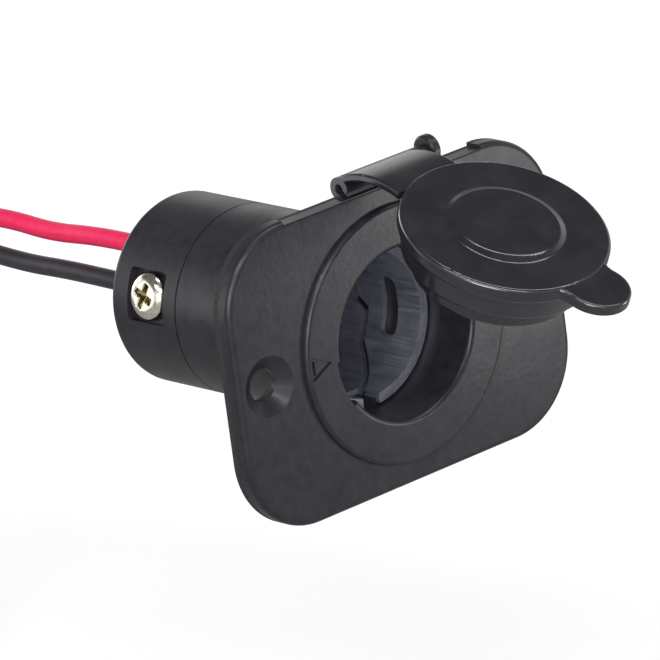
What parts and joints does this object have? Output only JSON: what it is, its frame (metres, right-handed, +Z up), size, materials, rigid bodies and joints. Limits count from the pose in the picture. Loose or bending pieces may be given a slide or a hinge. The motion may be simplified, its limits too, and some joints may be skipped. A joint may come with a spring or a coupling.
{
  "type": "car 12v power socket",
  "caption": "Panel-mount accessory socket with a rounded faceplate, round twist-lock bore, hinged sealing cap, rear barrel with a screwed cover, and red and black leads.",
  "frame": {"origin": "centre of the gasket's back face on the bore's axis, midway between the two screw holes", "axes": "+X to the right seen from the front, +Y into the panel, +Z up; the bore opens towards -Y"},
  "size_m": [0.061, 0.1703, 0.0988],
  "materials": {
    "moulded_nylon": "satin black glass-filled nylon moulding",
    "soft_pvc": "glossy black flexible PVC moulding",
    "foam_rubber": "die-cut black rubber gasket",
    "nickel_plate": "dull nickel plate on drawn steel",
    "phenolic": "brown phenolic insulator",
    "plated_brass": "turned brass",
    "tinned_brass": "tin-plated stamped brass",
    "zinc_steel": "zinc-plated steel",
    "nickel_screw": "bright nickel-plated steel",
    "black_steel": "black-oxide steel pin",
    "red_pvc": "red PVC wire insulation",
    "black_pvc": "black PVC wire insulation",
    "tinned_copper": "tinned stranded copper"
  },
  "bodies": {
    "socket": {"faceplate_housing": "moulded_nylon", "panel_gasket": "foam_rubber", "contact_sleeve": "nickel_plate", "centre_insulator": "phenolic", "centre_contact": "plated_brass", "positive_terminal": "tinned_brass", "negative_terminal": "tinned_brass", "stud_lock_washer": "zinc_steel", "stud_nut": "zinc_steel", "sleeve_rivet": "zinc_steel", "rear_cover": "moulded_nylon", "cover_screw": "nickel_screw", "red_lead": "red_pvc", "black_lead": "black_pvc", "red_stripped_end": "tinned_copper", "black_stripped_end": "tinned_copper", "hinge_pin": "black_steel"},
    "cap": {"sealing_cap": "soft_pvc"}
  },
  "joints": [
    {"name": "cap_hinge", "type": "hinge", "parent": "socket", "child": "cap", "pos_m": [0, -0.0031, 0.0231], "axis": [-1, 0, 0], "range_deg": [-64, 97]}
  ]
}
